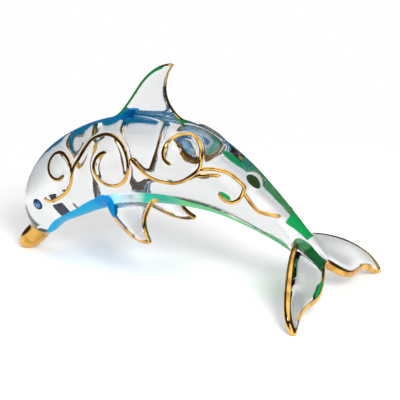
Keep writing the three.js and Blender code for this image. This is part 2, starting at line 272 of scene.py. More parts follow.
class FigurineColours(bpy.types.PropertyGroup):
    glass: tone("Glass", "Clear glass", 0.96, 0.966, 0.966)
    gold: tone("Gold", "Fired bright gold", 0.76, 0.43, 0.1)
    worn_gold: tone("Worn gold", "Gold where it is thin", 0.42, 0.22, 0.05)
    blue: tone("Blue", "Tint of the throat", 0.0, 0.28, 0.5)
    # The next colour is a painted reflection of the belly stripe along the back, and a real tint at
    # the dorsal fin's foot
    dorsal_blue_and_back_reflection: tone("Deep blue", "Tint of the back and of the dorsal fin's foot", 0.0, 0.28, 0.62)
    flipper_blue: tone("Flipper blue", "Tint of the flippers' leading roots", 0.0, 0.2, 0.5)
    pale_blue: tone("Pale blue", "Tint between the flippers", 0.36, 0.72, 0.9)
    teal: tone("Teal", "Tint behind the flippers", 0.02, 0.36, 0.26)
    pale_green: tone("Pale green", "Tint along the belly", 0.11, 0.5, 0.19)
    green: tone("Green", "Tint of the tail stock", 0.005, 0.2, 0.05)
    # The next two colours are painted reflections behind the dorsal fin: a green glint and a dark
    # spot
    reflected_deep_green: tone("Deep green", "Upper fleck behind the dorsal fin", 0.0, 0.12, 0.045)
    reflected_olive: tone("Olive", "Darkest fleck behind the dorsal fin", 0.01, 0.025, 0.008)
    crystal: tone("Crystal", "Eye crystal", 0.005, 0.04, 0.15)
    # Painted glints on an eye crystal's facets
    facet_glint: tone("Spark", "Lighter facets of an eye crystal", 0.08, 0.28, 0.6)
    # Colour of the dark ring painted round each eye socket
    socket: tone("Socket", "Dark lining of an eye socket", 0.01, 0.02, 0.06)


# Shape of the figure as functions of two parameters

BODY_RINGS, BODY_SIDES = 640, 220
FIN_RINGS, FIN_SIDES = 160, 96
SCROLL_SPANS = 24   # straight pieces between two points of a scroll line
SEARCHED_STATIONS = 400


def chunks(count, size=20000):
    """Slices of a long array, so that tables of distances from it stay small."""
    return [slice(start, start + size) for start in range(0, count, size)]


def spline(rows, t):
    """Uniform cubic B-spline through rows, first and last row tripled, for an array of t in 0..1:
    the sum of four neighbouring rows weighted by the cubic blending polynomials."""
    rows = np.asarray(rows, float)
    padded = np.vstack([rows[:1], rows[:1], rows, rows[-1:], rows[-1:]])
    spans = len(padded) - 3
    place = np.clip(np.asarray(t, float), 0, 1) * spans
    span = np.minimum(place.astype(int), spans - 1)
    f = (place - span)[..., None]
    weights = ((1 - f) ** 3 / 6, (3 * f ** 3 - 6 * f ** 2 + 4) / 6,
               (-3 * f ** 3 + 3 * f ** 2 + 3 * f + 1) / 6, f ** 3 / 6)
    return sum(weight * padded[span + k] for k, weight in enumerate(weights))


def unit(vectors):
    """Vectors divided by their lengths."""
    return vectors / np.maximum(np.linalg.norm(vectors, axis=-1, keepdims=True), 1e-12)


def running_length(points):
    """Length of a line up to each of its points."""
    return np.concatenate([[0], np.cumsum(np.linalg.norm(np.diff(points, axis=0), axis=1))])


class Figure:
    """The dolphin's forms at one length."""

    def __init__(self, sizes):
        self.sizes = sizes
        self.percent = sizes.length / 100
        self.shift = np.array([-MIDDLE_X * self.percent, 0, 0])

    def place(self, hundredths):
        """Points in hundredths of the length, in metres about the middle of the length."""
        return np.asarray(hundredths, float) * self.percent + self.shift

    def lines(self, along):
        """Top and bottom line of the body at shares along it, and half the width."""
        row = spline(BODY, along)
        top, bottom = (self.place(np.insert(row[..., k:k + 2], 1, 0, -1)) for k in (0, 2))
        return top, bottom, row[..., 4] * self.percent

    def skin(self, along, around):
        """Skin of the body: the middle of top and bottom line, plus their half difference times
        the sine of the angle around, minus half the width times its cosine across."""
        top, bottom, half_width = self.lines(along)
        points = (top + bottom) / 2 + (top - bottom) / 2 * np.sin(around)[..., None]
        points[..., 1] -= half_width * np.cos(around)
        return points

    def skin_normal(self, along, around):
        """Outward normal of the skin, the cross product of two short steps on it."""
        step = 0.002
        forward = self.skin(along + step, around) - self.skin(along - step, around)
        upward = self.skin(along, around + step) - self.skin(along, around - step)
        return unit(np.cross(forward, upward))

    def coordinates(self, points):
        """Share along the body of points by its skin, and height from -1 to 1 between its bottom
        and top line: those of the nearest station, then a straight step between stations."""
        stations = np.linspace(0.003, 0.997, SEARCHED_STATIONS)
        top, bottom, _ = self.lines(stations)
        rise = (top - bottom)[:, (0, 2)]
        length = np.linalg.norm(rise, axis=1)
        along = np.empty(len(points))
        height = np.empty(len(points))
        for part in chunks(len(points)):
            offset = points[part][:, None, (0, 2)] - bottom[None, :, (0, 2)]
            side = (offset[..., 0] * rise[:, 1] - offset[..., 1] * rise[:, 0]) / length
            up = 2 * (offset * rise).sum(-1) / length ** 2 - 1
            beyond = np.maximum(np.abs(up) - 1, 0) * length / 2
            near = np.hypot(side, beyond).argmin(1)
            rows = np.arange(len(near))
            after = np.minimum(near + 1, SEARCHED_STATIONS - 1)
            before = np.maximum(near - 1, 0)
            slope = side[rows, after] - side[rows, before]
            step = np.clip(-2 * side[rows, near] / np.where(slope == 0, 1, slope), -1, 1)
            along[part] = stations[near] + step * (stations[1] - stations[0])
            height[part] = up[rows, near] + step * (up[rows, after] - up[rows, before]) / 2
        return along, height

    def body(self):
        """Closed skin over rings from beak to tail."""
        along = np.linspace(0, 1, BODY_RINGS + 2)[1:-1, None]
        around = -np.linspace(0, 2 * math.pi, BODY_SIDES, endpoint=False)
        rings = self.skin(*np.broadcast_arrays(along, around))
        return closed_surface(rings, *self.skin(np.array([0.0, 1.0]), np.zeros(2)))

    def edge(self, rows, t, trailing=False):
        """Leading or trailing edge of a fin at shares t of its span."""
        row = spline(rows, t)
        return self.place(row[..., 3:] if trailing else row[..., :3])

    def fin(self, rows, root, tip):
        """Rings of a fin: middle of both edges, plus half the chord times the bulged cosine, plus
        half the thickness times the bulged sine across, with a rounded tip."""
        t = np.linspace(0, 1, FIN_RINGS + 1)
        leading, trailing = self.edge(rows, t), self.edge(rows, t, True)
        middle = (leading + trailing) / 2
        chord = (trailing - leading)[:-1]
        across = unit(np.cross(chord, np.diff(middle, axis=0)))
        thickness = ((root + (tip - root) * t) * np.sqrt(1 - t ** TIP_ROUNDNESS))[:-1, None]
        angle = -np.linspace(0, 2 * math.pi, FIN_SIDES, endpoint=False)
        wave = np.stack([np.cos(angle), np.sin(angle)])
        cosine, sine = (np.sign(wave) * np.abs(wave) ** (2 / FIN_ROUNDNESS))[..., None]
        rings = (middle[:-1, None] + chord[:, None] / 2 * cosine
                 + (across * thickness)[:, None] / 2 * sine)
        return closed_surface(rings, middle[0], middle[-1])

    def scroll(self, stroke, curl, step):
        """Feet and outward normals of one scroll line on the left of the body, a step apart. The
        line is a Catmull-Rom curve through the stroke and its curl, a spiral whose radius falls
        by the same share with each degree."""
        points = list(stroke)
        if curl:
            centre, (first, last), (wide, narrow) = curl
            share = np.linspace(0, 1, round(abs(last - first) / CURL_STEP) + 1)
            angle = np.radians(first + (last - first) * share)
            radius = wide * (narrow / wide) ** share
            spiral = np.stack([np.cos(angle), np.sin(angle)], 1) * radius[:, None] + centre
            points += spiral.tolist()
        line = even_curve(np.array(points, float), step / self.percent)
        along, height = self.coordinates(self.place(np.insert(line, 1, 0, -1)))
        around = np.arcsin(np.clip(height, -1, 1))
        return self.skin(along, around), self.skin_normal(along, around)

    def eye_frame(self):
        """Foot, outward, forward and upward direction at the left eye."""
        along, around = np.array(EYE_ALONG), np.array(math.radians(EYE_ROUND))
        outward = self.skin_normal(along, around)
        upward = unit(np.cross(outward, np.array([-1.0, 0, 0])))
        return self.skin(along, around), outward, np.cross(upward, outward), upward


def even_curve(points, step):
    """Catmull-Rom curve through points, cut into even steps by its running length."""
    ends = np.vstack([2 * points[0] - points[1], points, 2 * points[-1] - points[-2]])
    f = np.linspace(0, 1, SCROLL_SPANS, endpoint=False)[None, :, None]
    a, b, c, d = (ends[k:len(ends) - 3 + k, None, :] for k in range(4))
    curve = 0.5 * (2 * b + (c - a) * f + (2 * a - 5 * b + 4 * c - d) * f ** 2
                   + (3 * b - a - 3 * c + d) * f ** 3)
    curve = np.vstack([curve.reshape(-1, 2), points[-1:]])
    run = running_length(curve)
    even = np.linspace(0, run[-1], max(int(math.ceil(run[-1] / step)), 4) + 1)
    return np.stack([np.interp(even, run, curve[:, k]) for k in range(2)], 1)


def closed_surface(rings, first, last):
    """Points, quads and end triangles of a closed skin over rings, with a fan at either end."""
    count, sides = rings.shape[:2]
    points = np.vstack([rings.reshape(-1, 3), first[None], last[None]])
    i = np.arange(count - 1)[:, None] * sides
    j = np.arange(sides)
    k = (j + 1) % sides
    quads = np.stack([i + j, i + k, i + sides + k, i + sides + j], -1).reshape(-1, 4)
    foot = (count - 1) * sides
    first_fan = np.stack([np.full(sides, count * sides), k, j], -1)
    last_fan = np.stack([np.full(sides, count * sides + 1), foot + j, foot + k], -1)
    return points, quads, np.vstack([first_fan, last_fan])


def swept(feet, normals, half_width, half_height, lift, sides):
    """Oval carried along a line on the skin: foot plus half width times the cosine aside, plus
    lift and half height times the sine outwards, rounded off to a fifth of its size at the ends."""
    ahead = np.gradient(feet, axis=0)
    aside = unit(np.cross(ahead, normals))
    run = running_length(feet)
    near_end = np.minimum(run, run[-1] - run) / (2 * half_width)
    size = np.sqrt(np.clip(1 - (1 - np.minimum(near_end, 1)) ** 2, 0.04, 1))
    angle = -np.linspace(0, 2 * math.pi, sides, endpoint=False)
    wide = (aside * (size * half_width)[:, None])[:, None] * np.cos(angle)[:, None]
    high = lift + size[:, None] * half_height * np.sin(angle)
    rings = feet[:, None] + wide + normals[:, None] * high[..., None]
    return closed_surface(rings, rings[0].mean(0), rings[-1].mean(0))


# Distance fields: each form becomes a grid of signed distances, the grids are blended with soft
# corners, and one even skin is drawn where the distance is zero

BLEND_BAND = 8   # steps that the distances reach on both sides of a form
FIN_SOFTNESS = 4 * MM
RIDGE_SOFTNESS = 0.7 * MM
RIDGE_STEP, RIDGE_SIDES = 0.8 * MM, 20
GOLD_STEP, GOLD_SIDES = 0.6 * MM, 12
SOFTENING_ROUNDS = 2
RELAXING_ROUNDS = 3


class Field:
    """A grid of signed distances, the same on both sides of y = 0."""

    def __init__(self, step):
        self.step = step
        margin = BLEND_BAND * step
        low, high = (np.array(corner, float) for corner in CAD_BOX)
        reach = max(abs(low[1]), abs(high[1])) + margin
        first = np.floor(np.array([low[0] - margin, -reach, low[2] - margin]) / step).astype(int)
        last = np.ceil(np.array([high[0] + margin, reach, high[2] + margin]) / step).astype(int)
        first[1] = -last[1]
        self.corner = tuple(first.tolist())
        self.shape = tuple(last - first + 1)
        self.transform = openvdb.createLinearTransform(voxelSize=step)
        self.values = np.full(self.shape, np.inf, np.float32)

    def distances(self, surface):
        """Signed distance to one closed surface, cut off a few steps away from it."""
        points, quads, triangles = surface
        grid = openvdb.FloatGrid.createLevelSetFromPolygons(
            points.astype(np.float32), triangles=triangles.astype(np.uint32),
            quads=quads.astype(np.uint32), transform=self.transform, halfWidth=BLEND_BAND)
        values = np.empty(self.shape, np.float32)
        grid.copyToArray(values, ijk=self.corner)
        return values

    def join(self, values, softness):
        """Smooth minimum: the smaller distance, less a quarter of softness where both are equal,
        fading to nothing where they differ by softness."""
        overlap = np.maximum(softness - np.abs(self.values - values), 0) / softness
        self.values = np.minimum(self.values, values) - overlap * overlap * (softness / 4)

    def join_pair(self, surface, softness):
        """Joins a form and its mirror image on the other side of the body."""
        values = self.distances(surface)
        self.join(values, softness)
        self.join(values[:, ::-1], softness)

    def cut_pair(self, surface):
        """Takes a form and its mirror image away: the larger of this distance and the negative of
        the form's own."""
        values = self.distances(surface)
        self.values = np.maximum(self.values, -np.minimum(values, values[:, ::-1]))

    def soften(self, rounds):
        """Weighted mean of each value and its two neighbours along each axis in turn."""
        for _ in range(rounds):
            for axis in range(3):
                sides = np.roll(self.values, 1, axis) + np.roll(self.values, -1, axis)
                self.values = self.values / 2 + sides / 4

    def cut_at_table(self):
        """Keeps what stands above z = 0."""
        z = (np.arange(self.shape[2]) + self.corner[2]) * self.step
        self.values = np.maximum(self.values, -z.astype(np.float32))

    def surface(self):
        """Points and quads of the skin at distance zero, with its faces pointing out."""
        grid = openvdb.FloatGrid(BLEND_BAND * self.step)
        grid.transform = self.transform
        grid.copyFromArray(np.ascontiguousarray(self.values), ijk=self.corner)
        points, quads = grid.convertToQuads(isovalue=0)
        points, quads = points.astype(float), quads.astype(np.int64)
        a, b, c, d = (points[quads[:, k]] for k in range(4))
        volume = (np.cross(c - a, d - b) * (a + b + c + d)).sum()
        return points, quads if volume > 0 else quads[:, ::-1]


def relaxed(points, quads, rounds):
    """Moves each point half way to the mean of its neighbours and then out again by a little
    more, which evens the skin and keeps its volume."""
    start, end = quads.T.ravel(), np.roll(quads, -1, 1).T.ravel()
    count = np.bincount(start, minlength=len(points)).astype(float)
    inward, outward = 0.5, -0.53
    for share in (inward, outward) * rounds:
        mean = np.stack([np.bincount(start, points[end, k], len(points)) for k in range(3)], 1)
        points = points + share * (mean / count[:, None] - points)
    return points


def eye_socket(figure):
    """Conical seat of an eye, open outwards."""
    sizes = figure.sizes
    radius = sizes.eye_diameter / 2
    slant = math.hypot(radius, sizes.eye_pavilion)
    depth = sizes.eye_pavilion + sizes.eye_clearance * slant / radius
    seat = radius + sizes.eye_clearance
    mouth = 2 * radius
    profile = ((0.2 * seat, -0.8 * depth, 0), (seat, -sizes.eye_clearance, 0), (seat, mouth, 0))
    return turned(profile, 48, -depth, mouth, figure.eye_frame())


def turned(profile, sides, first, last, axes):
    """Profile of radius, height and turn in sides, carried round an axis: foot plus height
    outwards plus radius times cosine forwards and sine upwards, with a point at either end."""
    foot, outward, forward, upward = axes
    radius, height, turn = np.array(profile, float).T[..., None]
    angle = (np.arange(sides) + turn) * (2 * math.pi / sides)
    circle = np.cos(angle)[..., None] * forward + np.sin(angle)[..., None] * upward
    rings = foot + height[..., None] * outward + radius[..., None] * circle
    return closed_surface(rings, foot + first * outward, foot + last * outward)


# Painted areas, worked out at every point of the glass

LINE_POINTS = 200   # points that a line on the figure is cut into


def ramp(value, low, high):
    """0 below low, 1 above high, and a smooth rise between them."""
    t = np.clip((value - low) / (high - low), 0, 1)
    return t * t * (3 - 2 * t)


def span(value, rise, fall):
    """1 between a smooth rise and a smooth fall, and 0 outside them."""
    return ramp(value, *rise) * (1 - ramp(value, *fall))


def between_stops(value, stops):
    """Straight line through stops of place and level."""
    places, levels = zip(*stops)
    return np.interp(value, places, levels)


def within(away, width):
    """Share that falls evenly from 1 to 0 from a millimetre inside a width to one outside it. The
    finish makes its middle crisp, so the line is smoother than the mesh is fine."""
    return np.clip(0.5 + (width - away) / (2 * MM), 0, 1)


def distance_to_line(points, line):
    """Distance from each point to the nearest point of a finely cut line."""
    nearest = np.empty(len(points))
    for part in chunks(len(points)):
        square = ((points[part] ** 2).sum(1)[:, None] + (line ** 2).sum(1)[None]
                  - 2 * points[part] @ line.T)
        nearest[part] = np.sqrt(np.maximum(square, 0).min(1))
    return nearest


def folded(points):
    """Points brought over to the right side of the body."""
    return points * (1, 0, 1) + np.abs(points) * (0, 1, 0)


def fin_line(figure, rows, trailing, start, end):
    """The part of a fin's edge between two shares of it."""
    return figure.edge(rows, np.linspace(start, end, LINE_POINTS), trailing)


def gilding(figure, points):
    """Share of gold at each point: the beak before its crease, and a band beside the fin edges,
    wide on the flukes, narrow on the flippers and behind the dorsal fin."""
    gilt = np.zeros(len(points))
    both_sides = folded(points)
    for *part, width in GILT_BANDS:
        away = distance_to_line(both_sides, fin_line(figure, *part))
        gilt = np.maximum(gilt, within(away, width * MM))
    row = BODY[BEAK_BASE]
    top, bottom = figure.place((row[0], 0, row[1])), figure.place((row[2], 0, row[3]))
    tip = figure.place((BODY[0][0], 0, BODY[0][1]))
    ahead = np.cross(bottom - top, (0, 1, 0))
    ahead = unit(ahead * np.sign(ahead @ (tip - top)))
    before = (points - top) @ ahead
    low = points[:, 2] < max(top[2], bottom[2]) + 4 * MM
    front = points[:, 0] < bottom[0] + 10 * MM
    return np.maximum(gilt, within(-before, 0) * low * front)


class Tints:
    """Tints of the glass: at each point its colour, how solid that colour is, and how surely the
    point lies inside a tinted area."""

    def __init__(self, figure, points, colours):
        self.figure = figure
        self.colours = colours
        self.points = points
        self.along, self.height = figure.coordinates(points)
        top, bottom, half_width = figure.lines(self.along)
        self.half_height = np.linalg.norm(top - bottom, axis=1) / 2
        out = np.hypot(np.abs(points[:, 1]) / np.maximum(half_width, MM), self.height)
        self.on_body = (out < 1.15) & (self.along > 0.19)
        self.colour = np.tile(self.shade("glass"), (len(points), 1))
        self.solid, self.painted = np.zeros((2, len(points)))
        self.belly()
        self.back()
        self.fins()
        self.reflections_and_eye_rings()

    def shade(self, name):
        """One of the panel's colours."""
        return np.array(getattr(self.colours, name))

    def paint(self, area, shade, solid):
        """Lays one colour, or one for each point, over an area of shares from 0 to 1. The colour
        is full already outside the middle of the area's edge, where the finish cuts it off."""
        full = np.minimum(area * 4, 1)
        self.colour += (shade - self.colour) * full[:, None]
        self.solid += (solid - self.solid) * full
        self.painted = np.maximum(self.painted, area)

    def band(self, line, width, name, solid, both_sides=True):
        """Paints what lies within so many millimetres of a line."""
        points = folded(self.points) if both_sides else self.points
        self.paint(within(distance_to_line(points, line), width * MM), self.shade(name), solid)

    def belly(self):
        """Stripe that goes from blue at the throat over clear glass and teal to green."""
        stops, names = zip(*STRIPE_COLOURS)
        palette = np.array([self.shade(name) for name in names])
        stripe = np.stack([np.interp(self.along, stops, palette[:, k]) for k in range(3)], 1)
        above_rim = (self.height - between_stops(self.along, STRIPE_RIM)) * self.half_height
        solid = between_stops(self.along, STRIPE_SOLID)
        self.paint(within(above_rim, 0) * self.on_body, stripe, solid)

    def back(self):
        """Faint blue along the back, a painted reflection of the belly stripe, and green on the tail
        stock and at the flukes' roots.
        """
        # Painted reflection: the belly stripe's blue, seen through the glass at the crest, laid on
        # the skin
        faint = BACK_REFLECTION_SOLID * span(self.along, *BACK_REFLECTION_SPAN)
        back_reflection = ramp(self.height, *BACK_REFLECTION_EDGE) * (faint > 0.01)
        self.paint(back_reflection * self.on_body, self.shade("dorsal_blue_and_back_reflection"), faint)
        slant = self.height - STOCK_SLANT * (self.along - STOCK_START)
        stock = span(self.along, *STOCK_SPAN) * ramp(slant, *STOCK_EDGE)
        self.paint(stock * self.on_body, self.shade("green"), 0.85)
        root = span(self.along, *ROOT_SPAN) * (1 - ramp(self.height, *ROOT_EDGE))
        near_middle = 1 - ramp(np.abs(self.points[:, 1]), *ROOT_SIDE)
        self.paint(root * near_middle, self.shade("green"), 0.95)

    def fins(self):
        """Tints at the roots and edges of the fins. The patch on the fluke is on the left alone."""
        figure = self.figure
        for start, end, *tint in DORSAL_FOOT:
            self.band(figure.lines(np.linspace(start, end, LINE_POINTS))[0], *tint)
        shoulder, armpit = (figure.edge(FLIPPER, FLIPPER_ROOT_AT, side) for side in (False, True))
        for start, end, *tint in FLIPPER_ROOT:
            share = np.linspace(start, end, LINE_POINTS)[:, None]
            self.band(shoulder + share * (armpit - shoulder), *tint)
        for *part, width, name, solid in TINT_BANDS:
            self.band(fin_line(figure, *part), width, name, solid)
        *part, width, name, solid = LEFT_FLUKE_PATCH
        self.band(fin_line(figure, *part) * (1, -1, 1), width, name, solid, both_sides=False)

    def reflections_and_eye_rings(self):
        """Painted reflections: ovals behind the dorsal fin; a dark ring painted round the eyes."""
        # Painted reflections: colour laid on the skin in place of the tail's green and a dark spot
        # seen through the glass
        for along, height, length, width, name in PAINTED_REFLECTIONS:
            away = np.hypot((self.along - along) / length, (self.height - height) / width)
            painted_reflection = np.clip(0.5 + (1 - away) / REFLECTION_EDGE, 0, 1)
            self.paint(painted_reflection * self.on_body, self.shade(name), 1.0)
        # A dark ring painted round each eye socket
        eye = self.figure.eye_frame()[0] * (1, -1, 1)
        self.band(eye[None], EYE_RING_REACH, "socket", 1.0)


# Meshes and finishes

def mesh_object(name, material, points, *groups, smooth=True):
    """Named object at the origin, with its place in its mesh, from groups of like faces."""
    mesh = bpy.data.meshes.new(name)
    mesh.from_pydata(points.tolist(), [], sum((group.tolist() for group in groups), []))
    mesh.polygons.foreach_set("use_smooth", np.full(len(mesh.polygons), smooth))
    mesh.update()
    mesh.materials.append(material)
    piece = bpy.data.objects.new(name, mesh)
    bpy.context.scene.collection.objects.link(piece)
    return piece


def point_attribute(piece, name, values):
    """Attribute with one number or one colour at each point of a piece."""
    kind, field = ("FLOAT_COLOR", "color") if values.ndim == 2 else ("FLOAT", "value")
    attribute = piece.data.attributes.new(name, kind, "POINT")
    attribute.data.foreach_set(field, values.astype(np.float32).ravel())


def joined(surfaces):
    """Several surfaces of points, quads and triangles as one."""
    points, *groups = zip(*surfaces)
    bases = np.cumsum([0] + [len(part) for part in points])
    return np.vstack(points), *(
        np.vstack([faces + base for faces, base in zip(group, bases)]) for group in groups)


def other_side(surface):
    """The surface on the other side of the body, with its faces turned outwards again."""
    points, quads, triangles = surface
    return points * (1, -1, 1), quads[:, ::-1], triangles[:, ::-1]


class Value:
    """One output of a node. Sums and products with numbers or values add Math nodes."""

    def __init__(self, nodes, socket):
        self.nodes = nodes
        self.socket = socket

    def _math(self, operation, first, second):
        return self.nodes.node("ShaderNodeMath", {"operation": operation}, {0: first, 1: second})

    def __add__(self, other):
        return self._math("ADD", self, other)

    __radd__ = __add__

    def __rsub__(self, other):
        return self._math("SUBTRACT", other, self)

    def __mul__(self, other):
        return self._math("MULTIPLY", self, other)

    __rmul__ = __mul__


class Nodes:
    """A node tree that is built from Python expressions."""

    def __init__(self, tree):
        self.tree = tree

    def node(self, kind, settings=None, sockets=None, output=0):
        """Adds a node: its settings first, a grey ramp's two stops among them, then the values or
        links of its sockets; gives one of its outputs."""
        node = self.tree.nodes.new(kind)
        for name, setting in (settings or {}).items():
            if name == "stops":
                for element, (position, level) in zip(node.color_ramp.elements, setting):
                    element.position = position
                    element.color = (level, level, level, 1)
            else:
                setattr(node, name, setting)
        self.feed(node, sockets or {})
        return Value(self, node.outputs[output])

    def feed(self, node, sockets):
        """Links values to a node's sockets, or sets the sockets' own numbers and colours."""
        for key, value in sockets.items():
            if isinstance(value, Value):
                self.tree.links.new(value.socket, node.inputs[key])
            else:
                node.inputs[key].default_value = value

    def noise(self, scale, detail=3.0):
        """Noise over the object's own coordinates."""
        place = self.node("ShaderNodeTexCoord", output="Object")
        return self.node("ShaderNodeTexNoise", None,
                         {"Vector": place, "Scale": scale, "Detail": detail}, "Fac")

    def ramp(self, value, stops):
        """Level between two stops of place and level."""
        return self.node("ShaderNodeValToRGB", {"stops": stops}, {"Fac": value})

    def attribute(self, name, output="Fac"):
        """A number or a colour that is kept at each point of the mesh."""
        return self.node("ShaderNodeAttribute", {"attribute_name": name}, None, output)

    def crisp(self, name, steepness=6.0):
        """An attribute that falls evenly over two millimetres, drawn as a crisp edge."""
        return self.node("ShaderNodeMath", {"operation": "MULTIPLY_ADD", "use_clamp": True},
                         {0: self.attribute(name), 1: steepness, 2: 0.5 - steepness / 2})

    def dot(self, first, second):
        """Product of two vectors, a number."""
        return self.node("ShaderNodeVectorMath", {"operation": "DOT_PRODUCT"},
                         {0: first, 1: second}, "Value")

    def mix(self, factor, first, second, blend="MIX"):
        """Colour between two colours, or another blend of them."""
        return self.node("ShaderNodeMix", {"data_type": "RGBA", "blend_type": blend},
                         {"Factor": factor, "A": first, "B": second}, "Result")


def rgba(colour):
    """A colour with full alpha."""
    return (*colour, 1.0)


def finish(name, plain):
    """New material: its nodes and its Principled shader, with plain values on its sockets."""
    material = bpy.data.materials.new(name)
    material.use_nodes = True
    nodes = Nodes(material.node_tree)
    shader = nodes.tree.nodes["Principled BSDF"]
    nodes.feed(shader, plain)
    return material, nodes, shader


def gold_colour(nodes, colours):
    """Bright gold that turns browner in soft patches."""
    patches = nodes.ramp(nodes.noise(160, 2), ((0.42, 0.0), (0.68, 1.0)))
    return nodes.mix(patches, rgba(colours.gold), rgba(colours.worn_gold))


def glass_finish(colours):
    """Clear glass with coloured tints, fired gold where it is gilt, and a faint hand-made wave.
    Each face of the glass takes only the root of its colour, so the tint is squared. Where the
    colour is solid, the glass gives way to a softly glossy enamel with a little painted glow, in
    place of the light that reaches it through the glass."""
    material, nodes, shader = finish("clear_glass", {"Transmission Weight": 1.0, "IOR": 1.5})
    gilt, painted = nodes.crisp("gilt"), nodes.crisp("painted")
    tint, solid = nodes.attribute("tint", "Color"), nodes.attribute("solid")
    clear = rgba(np.array(colours.glass) ** 2)
    glass = nodes.mix(painted, clear, nodes.mix(1.0, tint, tint, "MULTIPLY"))
    wave = nodes.node("ShaderNodeBump", None, {"Strength": 0.1, "Distance": 0.002,
                                               "Height": nodes.noise(70, 1.5)}, "Normal")
    nodes.feed(shader, {
        "Base Color": nodes.mix(gilt, glass, gold_colour(nodes, colours)), "Metallic": gilt,
        "Roughness": gilt * (0.02 + 0.05 * nodes.noise(420)) + 0.004, "Normal": wave})
    # Painted glow: the enamel's emission stands in for light that reaches it through the glass
    enamel = nodes.node(
        "ShaderNodeBsdfPrincipled", None,
        {"Base Color": tint, "Roughness": 0.25, "Coat Weight": 0.05, "Specular IOR Level": 0.05,
         "Emission Color": tint, "Emission Strength": 0.22, "Normal": wave})
    both = nodes.node("ShaderNodeMixShader", None,
                      {0: solid * painted * (1 - gilt), 1: Value(nodes, shader.outputs[0]),
                       2: enamel})
    nodes.feed(nodes.tree.nodes["Material Output"], {"Surface": both})
    return material


def gold_finish(colours):
    """Fired gold line, a little uneven."""
    material, nodes, shader = finish("fired_gold", {"Metallic": 1.0})
    bump = nodes.node("ShaderNodeBump", None, {"Strength": 0.3, "Distance": 0.0002,
                                               "Height": nodes.noise(700)}, "Normal")
    nodes.feed(shader, {"Base Color": gold_colour(nodes, colours), "Normal": bump,
                        "Roughness": 0.02 + 0.05 * nodes.noise(500)})
    return material


def crystal_finish(colours):
    """Dark blue cut crystal over foil, with painted glints: lighter colour in random facet patches.
    """
    material, nodes, shader = finish(
        "eye_crystal", {"Metallic": 0.55, "Coat Weight": 1.0, "Coat Roughness": 0.02, "IOR": 1.6})
    # Painted glints: lighter colour in random patches, in place of facets catching the light
    facet_glint = nodes.ramp(nodes.noise(900, 0), ((0.5, 0.0), (0.62, 1.0)))
    nodes.feed(shader, {
        "Base Color": nodes.mix(facet_glint, rgba(colours.crystal), rgba(colours.facet_glint)),
        "Roughness": 0.04 + 0.06 * nodes.noise(700)})
    return material


# Operators, one for each piece or group of like pieces

class FIGURINE_OT_glass(bpy.types.Operator):
    """Casts the clear glass dolphin with its gilding and tints"""
    bl_idname = "figurine.glass"
    bl_label = "Glass Dolphin"

    def execute(self, context):
        figure, colours = Figure(context.scene.figurine_sizes), context.scene.figurine_colours
        points, quads = self.cast(figure)
        piece = mesh_object("dolphin_glass", glass_finish(colours), points, quads)
        tints = Tints(figure, points, colours)
        point_attribute(piece, "gilt", gilding(figure, points))
        point_attribute(piece, "tint", np.column_stack([tints.colour, np.ones(len(points))]))
        point_attribute(piece, "solid", tints.solid)
        point_attribute(piece, "painted", tints.painted)
        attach(piece, "root")
        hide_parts("dolphin")
        return {"FINISHED"}

    def cast(self, figure):
        """Points and quads of the glass: body, fins and scroll lines are blended, the sockets and
        what lies below the table are cut away, and the skin is evened."""
        sizes = figure.sizes
        field = Field(sizes.voxel)
        dorsal = figure.fin(DORSAL, sizes.dorsal_root, sizes.dorsal_tip)
        for surface in (figure.body(), dorsal):
            field.join(field.distances(surface), FIN_SOFTNESS)
        for rows, root, tip in ((FLIPPER, sizes.flipper_root, sizes.flipper_tip),
                                (FLUKE, sizes.fluke_root, sizes.fluke_tip)):
            field.join_pair(figure.fin(rows, root, tip), FIN_SOFTNESS)
        half_height = (sizes.ridge_height + sizes.ridge_root) / 2
        lift = (sizes.ridge_height - sizes.ridge_root) / 2
        for stroke, curl in SCROLLS:
            feet, normals = figure.scroll(stroke, curl, RIDGE_STEP)
            ridge = swept(feet, normals, sizes.ridge_width / 2, half_height, lift, RIDGE_SIDES)
            field.join_pair(ridge, RIDGE_SOFTNESS)
        field.soften(SOFTENING_ROUNDS)
        field.cut_pair(eye_socket(figure))
        field.cut_at_table()
        points, quads = field.surface()
        points = relaxed(points, quads, RELAXING_ROUNDS)
        return np.clip(points, *(np.array(corner, float) for corner in CAD_BOX)), quads


class FIGURINE_OT_gold_lines(bpy.types.Operator):
    """Lays the gold on the raised scroll lines of both sides"""
    bl_idname = "figurine.gold_lines"
    bl_label = "Gold Scroll Lines"

    def execute(self, context):
        figure = Figure(context.scene.figurine_sizes)
        gold = gold_finish(context.scene.figurine_colours)
        sizes = figure.sizes
        sunk = 0.35 * MM
        half_height = (sizes.gilt_height + sunk) / 2
        lift = sizes.ridge_height + (sizes.gilt_height - sunk) / 2
        lines = []
        for stroke, curl in SCROLLS:
            feet, normals = figure.scroll(stroke, curl, GOLD_STEP)
            lines.append(
                swept(feet, normals, sizes.gilt_width / 2, half_height, lift, GOLD_SIDES))
        left = joined(lines)
        for name, surface in (("gold_scrolls_left", left),
                              ("gold_scrolls_right", other_side(left))):
            piece = mesh_object(name, gold, *surface)
            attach(piece, "root")
        return {"FINISHED"}


